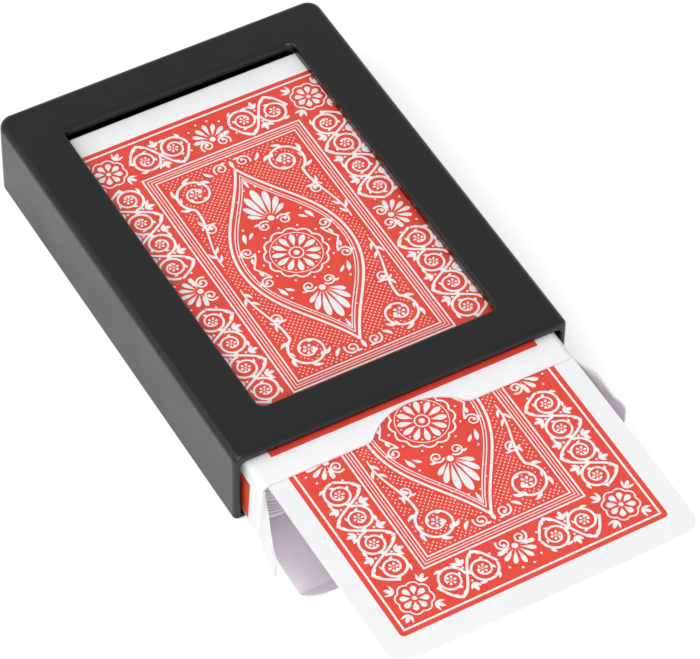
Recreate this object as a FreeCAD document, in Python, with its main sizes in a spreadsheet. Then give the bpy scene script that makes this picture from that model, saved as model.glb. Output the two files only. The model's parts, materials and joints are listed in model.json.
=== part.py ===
import FreeCAD, Part
import os
from math import radians
import Sketcher

# A playing card box with a drawer: a black moulded sleeve with a window in its roof, and a folded
# paperboard card case that slides in the sleeve like a drawer. The case holds a deck, its lid and dust
# flaps are folded open, and one card is drawn part of the way out.
# Frame: origin at the centre of the sleeve's underside, +Z up, +Y towards the sleeve's closed end,
# so the mouth faces -Y. All sizes in mm, angles in degrees.

DECK_CARDS = 44

SIZES = {
    # playing cards
    "card_width": 63.5,
    "card_length": 88.9,
    "card_gauge": 0.29,
    "card_corner": 3.5,
    "stray_across": 0.08,       # how far a loose card sits off the deck's middle, sideways
    "stray_along": 0.12,        # and lengthways
    "card_drawn": 44.2,         # how far the drawn card stands out of the case
    # folded paperboard case
    "board": 0.4,
    "side_slack": 0.15,
    "back_slack": 0.4,
    "front_slack": 2.3,
    "headroom": 0.15,
    "card_lift": 0.05,          # air under the drawn card, part of the headroom
    "fold_round": 0.35,
    "crease_gap": 0.05,
    "tab_trim": 1.5,
    "end_flap_reach": 18.0,
    "notch_radius": 12.7,
    "notch_depth": 4.85,
    "notch_round": 1.2,
    # flaps at the open end
    "dust_shoulder": 4.2,
    "dust_step": 4.4,
    "dust_tongue": 3.0,
    "dust_drop": 4.2,
    "dust_taper": 0.8,
    "dust_sill": 1.0,
    "dust_head": 0.5,
    "dust_corner": 1.4,
    "dust_curve": 2.6,
    "left_splay": 18.5,
    "right_splay": 25.0,
    "lid_inset": 0.3,
    "lid_floor_gap": 0.1,
    "tuck_rise": 49.0,
    "tuck_tip_gap": 2.1,
    "tuck_taper": 2.5,
    "tuck_corner": 6.0,
    # moulded sleeve
    "sleeve_wall": 1.35,
    "sleeve_roof": 2.0,
    "sleeve_floor": 1.0,
    "sleeve_back": 2.0,
    "side_clearance": 0.9,
    "roof_clearance": 0.4,
    "back_clearance": 1.5,
    "drawer_out": 6.3,          # how far the case stands out of the sleeve
    "window_side": 10.0,
    "window_near": 8.85,
    "window_far": 9.2,
    "window_corner": 1.5,
    "window_round": 0.8,
    "far_corner": 3.0,
    "roof_round": 1.6,
    "mouth_round": 1.0,
    "mouth_lip": 0.3,
    "foot_round": 0.4,
    "cavity_round": 1.2,
}

# Sizes and places that follow from those above.
FITS = {
    "inner_width": "Sizes.card_width + 2 * Sizes.side_slack",
    "stack_height": f"{DECK_CARDS} * Sizes.card_gauge",
    "inner_height": "stack_height + Sizes.card_gauge + Sizes.headroom",
    "inner_length": "Sizes.card_length + Sizes.back_slack + Sizes.front_slack",
    "case_width": "inner_width + 3 * Sizes.board",
    "case_height": "inner_height + 2 * Sizes.board",
    "case_length": "inner_length + 3 * Sizes.board",
    "cavity_width": "case_width + 2 * Sizes.side_clearance",
    "cavity_height": "case_height + Sizes.roof_clearance",
    "cavity_length": "case_length + Sizes.back_clearance",
    "sleeve_width": "cavity_width + 2 * Sizes.sleeve_wall",
    "sleeve_length": "cavity_length + Sizes.sleeve_back",
    "ceiling": "Sizes.sleeve_floor + cavity_height",
    "sleeve_height": "ceiling + Sizes.sleeve_roof",
    "mouth": "-sleeve_length / 2",
    "window_half": "sleeve_width / 2 - Sizes.window_side",
    "window_near": "mouth + Sizes.window_near",
    "window_far": "-mouth - Sizes.window_far",
    "case_front": "mouth - Sizes.drawer_out",
    "case_back": "case_front + case_length",
    "case_bottom": "Sizes.sleeve_floor",
    "case_top": "case_bottom + case_height",
    "inner_bottom": "case_bottom + Sizes.board",
    "inner_top": "case_top - Sizes.board",
    "inner_side": "case_width / 2 - Sizes.board",
    "stack_middle": "Sizes.board / 2",
    "deck_front": "case_front + Sizes.front_slack",
    "drawn_bottom": "inner_bottom + stack_height + Sizes.card_lift",
    "crease": "case_front - Sizes.crease_gap - Sizes.board / 2",
    "dust_bottom": "inner_bottom + Sizes.dust_sill",
    "dust_top": "inner_top - Sizes.dust_head",
    "lid_hinge": "case_bottom + Sizes.board / 2",
    "lid_reach": "case_height",
    "tuck_reach": "lid_reach + Sizes.crease_gap + Sizes.board / 2",
    "lid_half": "case_width / 2 - Sizes.lid_inset",
    "lid_droop": "asin((case_bottom - Sizes.lid_floor_gap) / tuck_reach)",
    "tuck_hinge": "lid_hinge - tuck_reach * sin(lid_droop)",
    "tuck_length": "(drawn_bottom - Sizes.tuck_tip_gap - tuck_hinge) / sin(Sizes.tuck_rise)",
    "dust_length": "Sizes.dust_shoulder + Sizes.dust_step + Sizes.dust_tongue",
}

doc = FreeCAD.newDocument("card_box_with_drawer")
pieces = []


def write_sheet(name, cells):
    """Fill a sheet with one aliased cell per entry."""
    sheet = doc.addObject("Spreadsheet::Sheet", name)
    for row, (alias, content) in enumerate(cells.items(), start=1):
        sheet.set(f"A{row}", alias)
        sheet.set(f"B{row}", str(content))
        sheet.setAlias(f"B{row}", alias)
        doc.recompute()
    return sheet


sizes = write_sheet("Sizes", SIZES)
fits = write_sheet("Fits", {alias: f"={text}" for alias, text in FITS.items()})


def measure(text):
    """Number that an expression over the two sheets stands for."""
    value = fits.evalExpression(text)
    return float(getattr(value, "Value", value))


def bind(target, properties):
    """Bind each property of target to its expression."""
    for path, text in properties.items():
        target.setExpression(path, text)


def piece(target, label):
    """Enter a finished document object as one piece of the box."""
    target.Label = label
    pieces.append(target)
    return target


def box(name, low, high):
    """Box between two corners, each three expressions."""
    block = doc.addObject("Part::Box", name)
    for edge, axis, start, end in zip(("Length", "Width", "Height"), "xyz", low, high):
        bind(block, {edge: f"({end}) - ({start})", f"Placement.Base.{axis}": start})
    return block


def new_body(name):
    return doc.addObject("PartDesign::Body", name)


def new_sketch(body, name, role, offset="0"):
    """Empty sketch on one of the body's own origin planes, moved along the plane's normal."""
    sketch = body.newObject("Sketcher::SketchObject", name)
    plane = next(feature for feature in body.Origin.OriginFeatures if feature.Role == role)
    sketch.AttachmentSupport = [(plane, "")]
    sketch.MapMode = "FlatFace"
    sketch.setExpression("AttachmentOffset.Base.z", offset)
    return sketch


def dimension(sketch, kind, geometry, text):
    """Dimension on a sketch that follows an expression."""
    index = sketch.addConstraint(Sketcher.Constraint(kind, *geometry, measure(text)))
    sketch.setExpression(f"Constraints[{index}]", text)


def draw_outline(sketch, corners):
    """Closed outline of straight lines, each corner an (x, y) pair of expressions."""
    points = [FreeCAD.Vector(measure(x), measure(y), 0) for x, y in corners]
    last = len(points) - 1
    for k, start in enumerate(points):
        end = points[0] if k == last else points[k + 1]
        sketch.addGeometry(Part.LineSegment(start, end), False)
    for k, (x, y) in enumerate(corners):
        sketch.addConstraint(Sketcher.Constraint("Coincident", last if k == 0 else k - 1, 2, k, 1))
        dimension(sketch, "DistanceX", (-1, 1, k, 1), x)
        dimension(sketch, "DistanceY", (-1, 1, k, 1), y)


def draw_rectangle(sketch, left, bottom, right, top):
    draw_outline(sketch, [(left, bottom), (right, bottom), (right, top), (left, top)])


def draw_circle(sketch, x, y, radius):
    centre = FreeCAD.Vector(measure(x), measure(y), 0)
    sketch.addGeometry(Part.Circle(centre, FreeCAD.Vector(0, 0, 1), measure(radius)), False)
    dimension(sketch, "DistanceX", (-1, 1, 0, 3), x)
    dimension(sketch, "DistanceY", (-1, 1, 0, 3), y)
    dimension(sketch, "Radius", (0,), radius)


def pad(body, sketch, length, midplane=False):
    feature = body.newObject("PartDesign::Pad", f"{sketch.Name}Pad")
    feature.Profile = sketch
    feature.Midplane = midplane
    feature.setExpression("Length", length)
    doc.recompute()
    return feature


def pocket(body, sketch, length, midplane=False):
    """Cut the sketch into the body, and see that it took material away."""
    before = body.Shape.Volume
    feature = body.newObject("PartDesign::Pocket", f"{sketch.Name}Pocket")
    feature.Profile = sketch
    feature.Midplane = midplane
    feature.setExpression("Length", length)
    doc.recompute()
    if body.Shape.Volume >= before:
        raise RuntimeError(f"{feature.Name} cuts nothing")
    return feature


def edges_between(shape, low, high):
    """Names of the edges that lie wholly in the box between two corners of numbers."""
    reach = 0.01
    names = []
    for number, edge in enumerate(shape.Edges, start=1):
        bounds = edge.BoundBox
        mins = (bounds.XMin, bounds.YMin, bounds.ZMin)
        maxs = (bounds.XMax, bounds.YMax, bounds.ZMax)
        inside = all(a >= b - reach for a, b in zip(mins, low))
        if inside and all(a <= b + reach for a, b in zip(maxs, high)):
            names.append(f"Edge{number}")
    return names


def round_edges(body, name, names, radius):
    """Fillet the named edges of the body's last feature."""
    if not names:
        raise RuntimeError(f"{name} has no edges")
    base = body.Tip
    feature = body.newObject("PartDesign::Fillet", name)
    feature.Base = (base, names)
    feature.setExpression("Radius", radius)
    doc.recompute()
    return feature


def add_root(body, name, role, start, end):
    """Round bead along a crease, on the hinge axis of a flap, between two places on that axis."""
    sketch = new_sketch(body, name, role, start)
    draw_circle(sketch, "0", "0", "Sizes.board / 2")
    return pad(body, sketch, f"({end}) - ({start})")


# --- sleeve ------------------------------------------------------------------------------------------


def make_sleeve():
    """Box open at the mouth, closed at the back, with a window through its roof."""
    body = new_body("Sleeve")
    side, top = measure("Fits.sleeve_width / 2"), measure("Fits.sleeve_height")
    mouth, back = measure("Fits.mouth"), measure("-Fits.mouth")

    plan = new_sketch(body, "SleevePlan", "XY_Plane")
    draw_rectangle(plan, "-Fits.sleeve_width / 2", "Fits.mouth", "Fits.sleeve_width / 2", "-Fits.mouth")
    pad(body, plan, "Fits.sleeve_height")
    uprights = [
        name for x in (-side, side) for name in edges_between(body.Shape, (x, back, 0), (x, back, top))
    ]
    round_edges(body, "FarCorners", uprights, "Sizes.far_corner")
    front_edge = edges_between(body.Shape, (-side, mouth, top), (side, mouth, top))
    rim = edges_between(body.Shape, (-side, mouth, top), (side, back, top))
    round_edges(body, "RoofEdge", [name for name in rim if name not in front_edge], "Sizes.roof_round")
    foot = edges_between(body.Shape, (-side, mouth, 0), (side, mouth, 0))
    arch = edges_between(body.Shape, (-side, mouth, 0), (side, mouth, top))
    round_edges(body, "MouthEdge", [name for name in arch if name not in foot], "Sizes.mouth_round")

    bore = new_sketch(body, "CavitySection", "XZ_Plane", "-Fits.mouth")
    inside, floor, ceiling = "Fits.cavity_width / 2", "Sizes.sleeve_floor", "Fits.ceiling"
    draw_rectangle(bore, f"-{inside}", floor, inside, ceiling)
    pocket(body, bore, "Fits.cavity_length")
    inside, floor, ceiling = measure(inside), measure(floor), measure(ceiling)
    end = measure("Fits.mouth + Fits.cavity_length")
    ceiling_edges = [
        name
        for x in (-inside, inside)
        for name in edges_between(body.Shape, (x, mouth, ceiling), (x, end, ceiling))
    ]
    round_edges(body, "CavityCorners", ceiling_edges, "Sizes.cavity_round")
    lip = edges_between(body.Shape, (-inside, mouth, floor), (inside, mouth, ceiling))
    round_edges(body, "MouthLip", lip, "Sizes.mouth_lip")

    window = new_sketch(body, "Window", "XY_Plane", "Fits.sleeve_height")
    draw_rectangle(window, "-Fits.window_half", "Fits.window_near", "Fits.window_half", "Fits.window_far")
    pocket(body, window, "Sizes.sleeve_roof + Sizes.roof_clearance / 2")
    half, near, far = (measure(f"Fits.window_{name}") for name in ("half", "near", "far"))
    window_corners = [
        name
        for x in (-half, half)
        for y in (near, far)
        for name in edges_between(body.Shape, (x, y, ceiling), (x, y, top))
    ]
    round_edges(body, "WindowCorners", window_corners, "Sizes.window_corner")
    window_rim = edges_between(body.Shape, (-half, near, top), (half, far, top))
    round_edges(body, "WindowRim", window_rim, "Sizes.window_round")
    foot_loop = edges_between(body.Shape, (-side, mouth, 0), (side, back, 0))
    round_edges(body, "FootEdge", foot_loop, "Sizes.foot_round")
    piece(body, "sleeve_shell")


# --- paperboard case ---------------------------------------------------------------------------------


def make_top_panel():
    """Roof of the case, with the thumb notch in its open edge."""
    body = new_body("TopPanel")
    plan = new_sketch(body, "TopPlan", "XY_Plane", "Fits.inner_top")
    draw_rectangle(plan, "-Fits.inner_side", "Fits.case_front", "Fits.inner_side", "Fits.case_back")
    pad(body, plan, "Sizes.board")
    notch = new_sketch(body, "Notch", "XY_Plane", "Fits.case_top")
    centre = "Fits.case_front + Sizes.notch_depth - Sizes.notch_radius"
    draw_circle(notch, "0", centre, "Sizes.notch_radius")
    pocket(body, notch, "Sizes.board")
    front, low, high = (measure(f"Fits.{name}") for name in ("case_front", "inner_top", "case_top"))
    half = measure("sqrt(Sizes.notch_depth * (2 * Sizes.notch_radius - Sizes.notch_depth))")
    corners = [
        name for x in (-half, half) for name in edges_between(body.Shape, (x, front, low), (x, front, high))
    ]
    round_edges(body, "NotchShoulders", corners, "Sizes.notch_round")
    piece(body, "case_top_panel")


def make_side_wall(side, sign):
    """Upright wall of the case, its two folds slightly rounded on the outside."""
    body = new_body(f"{side.title()}Side")
    section = new_sketch(body, f"{side.title()}SideSection", "XZ_Plane", "-Fits.case_back")
    inner, outer = f"{sign} * Fits.inner_side", f"{sign} * Fits.case_width / 2"
    draw_rectangle(section, inner, "Fits.case_bottom", outer, "Fits.case_top")
    pad(body, section, "Fits.case_length")
    x = measure(outer)
    front, back = measure("Fits.case_front"), measure("Fits.case_back")
    folds = [
        name
        for z in (measure("Fits.case_bottom"), measure("Fits.case_top"))
        for name in edges_between(body.Shape, (x, front, z), (x, back, z))
    ]
    round_edges(body, f"{side.title()}Folds", folds, "Sizes.fold_round")
    piece(body, f"case_{side}_side")


def make_case_walls():
    """Bottom, sides, glued seam and the layers that close the back end."""
    piece(
        box(
            "BottomPanel",
            ("-Fits.inner_side", "Fits.case_front", "Fits.case_bottom"),
            ("Fits.inner_side", "Fits.case_back", "Fits.inner_bottom"),
        ),
        "case_bottom_panel",
    )
    for side, sign in (("left", -1), ("right", 1)):
        make_side_wall(side, sign)
    piece(
        box(
            "GlueTab",
            ("-Fits.inner_side", "Fits.case_front + Sizes.tab_trim", "Fits.inner_bottom"),
            (
                "-Fits.inner_side + Sizes.board",
                "Fits.case_back - 3 * Sizes.board",
                "Fits.inner_top - Sizes.headroom",
            ),
        ),
        "case_glue_tab",
    )
    layers = {
        "case_end_panel": ("-Fits.inner_side", "Fits.inner_side", 1),
        "case_end_lining": ("-Fits.inner_side", "Fits.inner_side", 2),
        "case_end_left_flap": ("-Fits.inner_side", "-Fits.inner_side + Sizes.end_flap_reach", 3),
        "case_end_right_flap": ("Fits.inner_side - Sizes.end_flap_reach", "Fits.inner_side", 3),
    }
    for label, (left, right, layer) in layers.items():
        sheet = box(
            label.title().replace("_", ""),
            (left, f"Fits.case_back - {layer} * Sizes.board", "Fits.inner_bottom"),
            (right, f"Fits.case_back - {layer - 1} * Sizes.board", "Fits.inner_top"),
        )
        piece(sheet, label)


# --- flaps at the open end ---------------------------------------------------------------------------


def make_dust_flap(side, turn):
    """Dust flap on a side wall's crease: full height at the crease, then stepped down to a tongue."""
    body = new_body(f"{side.title()}Dust")
    outline = new_sketch(body, f"{side.title()}DustOutline", "YZ_Plane")
    shoulder = "-Sizes.dust_shoulder"
    step = "-Sizes.dust_shoulder - Sizes.dust_step"
    tip = "-Fits.dust_length"
    draw_outline(
        outline,
        [
            ("0", "Fits.dust_bottom"),
            (tip, "Fits.dust_bottom + Sizes.dust_taper"),
            (tip, "Fits.dust_top - Sizes.dust_drop - Sizes.dust_taper"),
            (step, "Fits.dust_top - Sizes.dust_drop"),
            (shoulder, "Fits.dust_top"),
            ("0", "Fits.dust_top"),
        ],
    )
    pad(body, outline, "Sizes.board", midplane=True)
    half = measure("Sizes.board / 2")
    for name, place, radius in (
        ("Tip", tip, "Sizes.dust_corner"),
        ("Step", step, "Sizes.dust_curve"),
        ("Shoulder", shoulder, "Sizes.dust_curve"),
    ):
        y = measure(place)
        top = measure("Fits.dust_top")
        across = [
            edge
            for edge in edges_between(body.Shape, (-half, y, 0), (half, y, top))
            if body.Shape.getElement(edge).BoundBox.XLength > half
        ]
        round_edges(body, f"{side.title()}Dust{name}", across, radius)
    add_root(body, f"{side.title()}DustRoot", "XY_Plane", "Fits.dust_bottom", "Fits.dust_top")
    offset = "Fits.case_width / 2 - Sizes.board / 2"
    body.Placement = FreeCAD.Placement(
        FreeCAD.Vector(), FreeCAD.Rotation(FreeCAD.Vector(0, 0, turn), 1.0)
    )
    bind(
        body,
        {
            "Placement.Base.x": f"{turn} * ({offset})",
            "Placement.Base.y": "Fits.crease",
            "Placement.Rotation.Angle": f"Sizes.{side}_splay",
        },
    )
    piece(body, f"{side}_dust_flap")


def make_lid():
    """Lid on the bottom panel's crease, hanging a little so that its far edge is near the table."""
    body = new_body("Lid")
    plan = new_sketch(body, "LidPlan", "XY_Plane")
    draw_rectangle(plan, "-Fits.lid_half", "-Fits.lid_reach", "Fits.lid_half", "0")
    pad(body, plan, "Sizes.board", midplane=True)
    add_root(body, "LidRoot", "YZ_Plane", "-Fits.lid_half", "Fits.lid_half")
    body.Placement = FreeCAD.Placement(FreeCAD.Vector(), FreeCAD.Rotation(FreeCAD.Vector(1, 0, 0), 1.0))
    bind(
        body,
        {
            "Placement.Base.y": "Fits.crease",
            "Placement.Base.z": "Fits.lid_hinge",
            "Placement.Rotation.Angle": "Fits.lid_droop",
        },
    )
    piece(body, "lid_flap")


def make_tuck():
    """Tuck flap on the lid's far crease, rising towards the drawn card."""
    body = new_body("Tuck")
    plan = new_sketch(body, "TuckPlan", "XY_Plane")
    tip_half = "Fits.lid_half - Sizes.tuck_taper"
    draw_outline(
        plan,
        [
            ("-Fits.lid_half", "0"),
            (f"-({tip_half})", "-Fits.tuck_length"),
            (tip_half, "-Fits.tuck_length"),
            ("Fits.lid_half", "0"),
        ],
    )
    pad(body, plan, "Sizes.board", midplane=True)
    tip = -measure("Fits.tuck_length")
    half, reach = measure("Sizes.board / 2"), measure("Fits.lid_half")
    corners = [
        edge
        for edge in edges_between(body.Shape, (-reach, tip, -half), (reach, tip, half))
        if body.Shape.getElement(edge).BoundBox.ZLength > half
    ]
    round_edges(body, "TuckCorners", corners, "Sizes.tuck_corner")
    add_root(body, "TuckRoot", "YZ_Plane", "-Fits.lid_half", "Fits.lid_half")
    body.Placement = FreeCAD.Placement(FreeCAD.Vector(), FreeCAD.Rotation(FreeCAD.Vector(-1, 0, 0), 1.0))
    bind(
        body,
        {
            "Placement.Base.y": "Fits.crease - Fits.tuck_reach * cos(Fits.lid_droop)",
            "Placement.Base.z": "Fits.tuck_hinge",
            "Placement.Rotation.Angle": "Sizes.tuck_rise",
        },
    )
    piece(body, "tuck_flap")


# --- cards -------------------------------------------------------------------------------------------


def make_card_outline():
    """Outline that every card is cut to: its front edge on the X axis, its middle on the Y axis."""
    sketch = doc.addObject("Sketcher::SketchObject", "CardOutline")
    half, length, radius = (
        measure(f"Sizes.{name}") for name in ("card_width / 2", "card_length", "card_corner")
    )
    up = FreeCAD.Vector(0, 0, 1)
    centres = [
        (half - radius, radius, -90),
        (half - radius, length - radius, 0),
        (radius - half, length - radius, 90),
        (radius - half, radius, 180),
    ]
    for x, y, start in centres:
        circle = Part.Circle(FreeCAD.Vector(x, y, 0), up, radius)
        sketch.addGeometry(Part.ArcOfCircle(circle, radians(start), radians(start + 90)), False)
    for k in range(4):
        start = sketch.Geometry[k].EndPoint
        end = sketch.Geometry[(k + 1) % 4].StartPoint
        sketch.addGeometry(Part.LineSegment(start, end), False)
    for k in range(4):
        following = (k + 1) % 4
        sketch.addConstraint(Sketcher.Constraint("Tangent", k, 2, 4 + k, 1))
        sketch.addConstraint(Sketcher.Constraint("Tangent", 4 + k, 2, following, 1))
    for k in range(1, 4):
        sketch.addConstraint(Sketcher.Constraint("Equal", 0, k))
    sketch.addConstraint(Sketcher.Constraint("Vertical", 4))
    sketch.addConstraint(Sketcher.Constraint("Horizontal", 5))
    dimension(sketch, "Radius", (0,), "Sizes.card_corner")
    dimension(sketch, "DistanceX", (-1, 1, 4, 1), "Sizes.card_width / 2")
    dimension(sketch, "DistanceX", (-1, 1, 6, 1), "-Sizes.card_width / 2")
    dimension(sketch, "DistanceY", (-1, 1, 5, 1), "Sizes.card_length")
    sketch.addConstraint(Sketcher.Constraint("PointOnObject", 7, 1, -1))
    doc.recompute()
    return sketch


def make_card(outline, name, label, x, y, z):
    """One card cut to the shared outline, its front edge at y and its underside at z."""
    card = doc.addObject("Part::Extrusion", name)
    card.Base = outline
    card.DirMode = "Custom"
    card.Dir = FreeCAD.Vector(0, 0, 1)
    card.Solid = True
    bind(
        card,
        {
            "LengthFwd": "Sizes.card_gauge",
            "Placement.Base.x": x,
            "Placement.Base.y": y,
            "Placement.Base.z": z,
        },
    )
    piece(card, label)


def make_cards():
    """The deck, its cards a little out of line with each other, and the drawn card above it."""
    outline = make_card_outline()
    across_turn, along_turn = 137.5, 222.5
    for k in range(DECK_CARDS):
        make_card(
            outline,
            f"DeckCard{k + 1}",
            f"deck_card_{k + 1:02d}",
            f"Fits.stack_middle + Sizes.stray_across * cos({across_turn * k} deg)",
            f"Fits.deck_front + Sizes.stray_along * cos({along_turn * k} deg)",
            f"Fits.inner_bottom + {k} * Sizes.card_gauge",
        )
    make_card(
        outline,
        "DrawnCard",
        "drawn_card",
        "Fits.stack_middle",
        "Fits.case_front - Sizes.card_drawn",
        "Fits.drawn_bottom",
    )


def write_parts():
    """Check every object and every piece, then write one STEP file for each piece."""
    doc.recompute()
    for item in doc.Objects:
        if "Invalid" in item.State or "Error" in item.State:
            raise RuntimeError(f"{item.Name} failed: {item.State}")
    os.makedirs("parts", exist_ok=True)
    for item in pieces:
        shape = item.Shape
        if shape.isNull() or not shape.isValid() or len(shape.Solids) != 1:
            raise RuntimeError(f"{item.Label} is not one valid solid")
        shape.exportStep(f"parts/{item.Label}.step")


make_sleeve()
make_top_panel()
make_case_walls()
make_dust_flap("left", -1)
make_dust_flap("right", 1)
make_lid()
make_tuck()
make_cards()
write_parts()
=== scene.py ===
import itertools
import json
import math
import random
import bmesh
import bpy
from mathutils import Matrix, Quaternion, Vector, kdtree


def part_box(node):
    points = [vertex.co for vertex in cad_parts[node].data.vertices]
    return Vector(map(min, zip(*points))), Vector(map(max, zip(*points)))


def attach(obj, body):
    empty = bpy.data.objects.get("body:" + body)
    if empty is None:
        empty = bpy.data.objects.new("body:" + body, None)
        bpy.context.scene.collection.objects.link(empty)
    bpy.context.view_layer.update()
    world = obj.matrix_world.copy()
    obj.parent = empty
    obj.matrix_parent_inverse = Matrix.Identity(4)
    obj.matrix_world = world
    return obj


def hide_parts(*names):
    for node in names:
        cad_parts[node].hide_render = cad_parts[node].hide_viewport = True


# A playing card box with a drawer, dressed for looks: a black moulded sleeve, the folded card case in it,
# its flaps, the deck and one drawn card. Lengths below are in mm unless a name says otherwise.

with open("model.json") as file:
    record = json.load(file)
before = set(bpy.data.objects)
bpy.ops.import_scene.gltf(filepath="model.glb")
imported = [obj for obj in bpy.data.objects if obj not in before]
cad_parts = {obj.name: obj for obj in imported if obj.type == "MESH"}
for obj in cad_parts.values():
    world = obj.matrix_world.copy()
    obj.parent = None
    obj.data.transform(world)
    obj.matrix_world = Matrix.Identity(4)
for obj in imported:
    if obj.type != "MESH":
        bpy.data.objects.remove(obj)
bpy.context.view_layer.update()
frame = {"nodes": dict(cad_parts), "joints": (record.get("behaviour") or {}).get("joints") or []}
MM = 0.001

# Thicknesses, and the outer radii of the case's folds.
BOARD = 0.4
CARD = 0.21
FOLD_TOP, FOLD_BOTTOM, FOLD_FAR = 1.3, 0.8, 0.7

# A print lies this far over its sheet or over the print below it, and its levels are this far apart.
INK_LIFT = 0.012
LEVEL_STEP = 0.0004

# Red panels of the case and of the card. The case's lines end short of its panel's near edge.
PANEL_ON_CASE = {"width": 55.6, "length": 81.8, "corner": 0.3, "lines_short": 0.45}
PANEL_ON_CARD = {"width": 55.25, "length": 79.3, "corner": 0.9, "lines_short": 0}


def span(node):
    """Lowest and highest corner of a CAD node, in mm."""
    low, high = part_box(node)
    return Vector(low) / MM, Vector(high) / MM


def hinge(name):
    """A point on a hinge's axis, in mm."""
    joint = next(item for item in frame["joints"] if item["name"] == name)
    return Vector(joint["pos_m"]) / MM


def smooth_step(value, start, end):
    """0 before start, 1 after end and a smooth rise between them."""
    share = min(max((value - start) / (end - start), 0), 1)
    return share * share * (3 - 2 * share)


# --- materials ---------------------------------------------------------------------------------------


# Most of a noise's values lie between these two, so colours and grades run from one to the other.
NOISE_LOW, NOISE_HIGH = 0.35, 0.65


class Shader:
    """A node material under construction."""

    def __init__(self, name, colour, roughness, ior=1.5):
        self.material = bpy.data.materials.new(name)
        self.material.use_nodes = True
        self.nodes = self.material.node_tree.nodes
        self.links = self.material.node_tree.links
        self.surface = self.nodes["Principled BSDF"]
        self.surface.inputs["Base Color"].default_value = (*colour, 1)
        self.surface.inputs["Roughness"].default_value = roughness
        self.surface.inputs["IOR"].default_value = ior
        self.place = self.nodes.new("ShaderNodeTexCoord").outputs["Object"]

    def noise(self, scale, detail):
        """Noise over the object's own space, scale in cells a metre."""
        texture = self.nodes.new("ShaderNodeTexNoise")
        texture.inputs["Scale"].default_value = scale
        texture.inputs["Detail"].default_value = detail
        self.links.new(self.place, texture.inputs["Vector"])
        return texture.outputs["Fac"]

    def ramp(self, noise, low, high):
        """Colour that runs from low to high with a noise."""
        node = self.nodes.new("ShaderNodeValToRGB")
        ends = node.color_ramp.elements
        ends[0].position, ends[1].position = NOISE_LOW, NOISE_HIGH
        ends[0].color, ends[1].color = (*low, 1), (*high, 1)
        self.links.new(noise, node.inputs["Fac"])
        return node.outputs["Color"]

    def grade(self, noise, low, high):
        """Number that runs from low to high with a noise."""
        node = self.nodes.new("ShaderNodeMapRange")
        sockets = {"From Min": NOISE_LOW, "From Max": NOISE_HIGH, "To Min": low, "To Max": high}
        for socket, number in sockets.items():
            node.inputs[socket].default_value = number
        self.links.new(noise, node.inputs["Value"])
        return node.outputs["Result"]

    def bump(self, height, strength, distance_mm):
        """Relief of the surface, at its full strength distance_mm high."""
        node = self.nodes.new("ShaderNodeBump")
        node.inputs["Strength"].default_value = strength
        node.inputs["Distance"].default_value = distance_mm * MM
        self.links.new(height, node.inputs["Height"])
        self.links.new(node.outputs["Normal"], self.surface.inputs["Normal"])

    def feed(self, value, socket):
        """Join a value to a socket of the surface."""
        self.links.new(value, self.surface.inputs[socket])


def make_plastic():
    """Black moulded plastic with a satin gloss."""
    shader = Shader("black_plastic", (0.003, 0.003, 0.0034), 0.3)
    soft = shader.noise(scale=60, detail=2)
    grain = shader.noise(scale=9000, detail=2)
    shader.feed(shader.grade(soft, low=0.27, high=0.34), "Roughness")
    tone = shader.ramp(soft, low=(0.0026, 0.0026, 0.0029), high=(0.0036, 0.0036, 0.0040))
    shader.feed(tone, "Base Color")
    shader.bump(grain, strength=0.05, distance_mm=0.02)
    return shader.material


def make_paper(name, low, high, roughness, grain=2200, bump=0.12):
    """Paper or board whose tone drifts a little, with fibre in its surface."""
    shader = Shader(name, high, roughness, ior=1.45)
    tone = shader.noise(scale=180, detail=4)
    shader.feed(shader.ramp(tone, low, high), "Base Color")
    sheen = shader.noise(scale=400, detail=3)
    shader.feed(shader.grade(sheen, roughness - 0.05, roughness + 0.05), "Roughness")
    shader.bump(shader.noise(grain, detail=4), strength=bump, distance_mm=0.02)
    return shader.material


PLASTIC = make_plastic()
COATED = make_paper("coated_board", (0.885, 0.885, 0.90), (0.915, 0.915, 0.925), 0.42)
# Lit copy of the coated board for the top's outer face: painted light, brighter than the same board on the
# sides.
COATED_PAINTED_LIGHT = make_paper("coated_painted_light", (0.93, 0.925, 0.945), (0.955, 0.95, 0.965), 0.42)
INSIDE = make_paper("board_inside", (0.93, 0.825, 0.89), (0.95, 0.855, 0.915), 0.7, bump=0.25)
# Cut edges: partly the grey of cut board, partly painted shade that keeps lit edges dark.
CUT_EDGE = make_paper("board_edge", (0.66, 0.65, 0.66), (0.78, 0.77, 0.78), 0.75, bump=0.3)
CARD_STOCK = make_paper("card_stock", (0.88, 0.88, 0.90), (0.91, 0.91, 0.925), 0.36, grain=1500, bump=0.08)
CARD_EDGE = make_paper("card_edge", (0.90, 0.82, 0.88), (0.95, 0.88, 0.935), 0.7, grain=5000, bump=0.3)
# Dark edge for the lowest card of each packet: painted shade of the gap under it.
CARD_EDGE_PAINTED_SHADE = make_paper(
    "card_edge_painted_shade", (0.34, 0.29, 0.32), (0.48, 0.42, 0.46), 0.8, grain=5000, bump=0.3
)
RED_INK = make_paper("red_ink", (0.78, 0.060, 0.036), (0.835, 0.070, 0.043), 0.36, grain=1500, bump=0.08)
WHITE_INK = make_paper("bare_lines", (0.88, 0.86, 0.86), (0.92, 0.90, 0.90), 0.38, grain=1500, bump=0.08)
# Dark orange-brown across the side at the sleeve's mouth: painted shade of the sleeve.
MOUTH_SHADE_PAINT = make_paper("painted_mouth_shade", (0.50, 0.09, 0.02), (0.62, 0.12, 0.03), 0.4)


# --- sheets of paper and board -------------------------------------------------------------------------


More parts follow.
